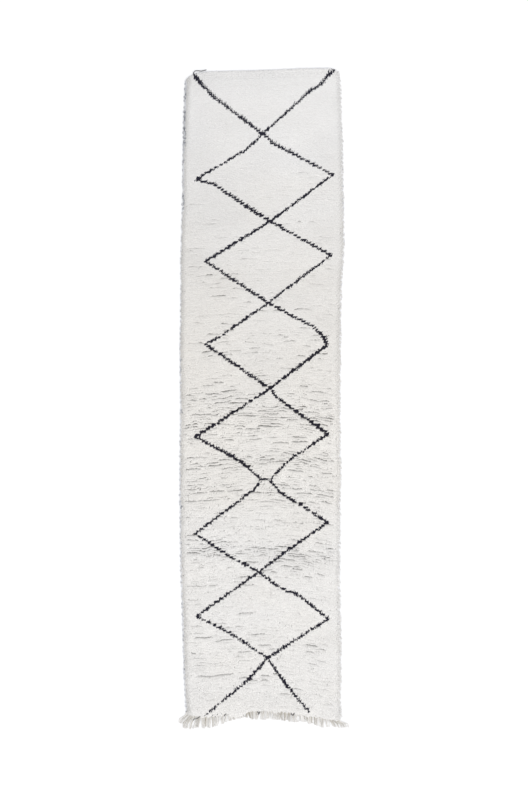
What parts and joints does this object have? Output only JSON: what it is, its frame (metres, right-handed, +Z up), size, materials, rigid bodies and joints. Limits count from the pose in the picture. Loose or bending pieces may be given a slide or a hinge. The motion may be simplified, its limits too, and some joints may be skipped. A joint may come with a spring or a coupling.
{
  "type": "beni ourain rug",
  "caption": "Long hand-knotted wool runner with thick ivory pile, a thin dark lozenge chain along its length, slightly uneven sides and a short ragged fringe at one end.",
  "frame": {"origin": "on the floor, at the middle of the box that holds the whole rug with its fringe", "axes": "+Y along the rug from the fringed end to the plain end, +X to the right seen from above with the fringed end nearest, +Z up out of the pile"},
  "size_m": [0.8325, 3.3054, 0.02],
  "materials": {
    "ivory_wool": "undyed ivory wool pile, cut, matt, with a slight sheen",
    "charcoal_wool": "near-black wool pile of the lozenge lines, cut, matt",
    "ground_wool": "flat woven ground cloth and selvedges, undyed wool",
    "warp_wool": "twisted warp ends of the fringe, undyed cream wool"
  },
  "bodies": {
    "root": {"rug": "ivory_wool", "fringe": "warp_wool"}
  },
  "joints": []
}
